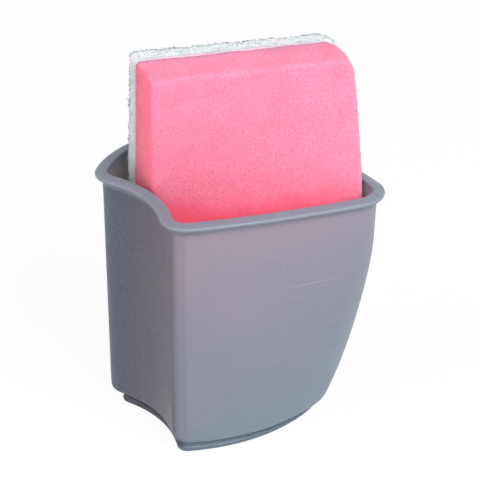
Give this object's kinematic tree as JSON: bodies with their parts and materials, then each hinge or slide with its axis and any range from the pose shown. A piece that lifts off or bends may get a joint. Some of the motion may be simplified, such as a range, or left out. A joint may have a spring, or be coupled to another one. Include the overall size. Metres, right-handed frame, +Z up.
{
  "type": "kitchen sponge holder with sponge",
  "caption": "Frosted plastic sponge holder cup with a flared lip and a hollowed side that nests against a round bottle, holding an upright foam sponge with a scouring pad.",
  "frame": {"origin": "on the surface it stands on, under the middle of the lip's bounding box", "axes": "+Z up, the front wall faces -Y, the hollow side faces -X and the side swept in at its base is +X"},
  "size_m": [0.0816, 0.0698, 0.1231],
  "materials": {
    "frosted_plastic": "frosted, translucent grey",
    "pink_foam": "open-cell foam",
    "white_pad": "non-woven fibre"
  },
  "bodies": {
    "cup": {"holder_cup": "frosted_plastic"},
    "sponge": {"sponge_foam": "pink_foam", "scouring_pad": "white_pad"}
  },
  "joints": [
    {"name": "sponge_lift", "type": "slide", "parent": "cup", "child": "sponge", "axis": [0, 0, 1], "range_m": [0, 0.12]}
  ]
}
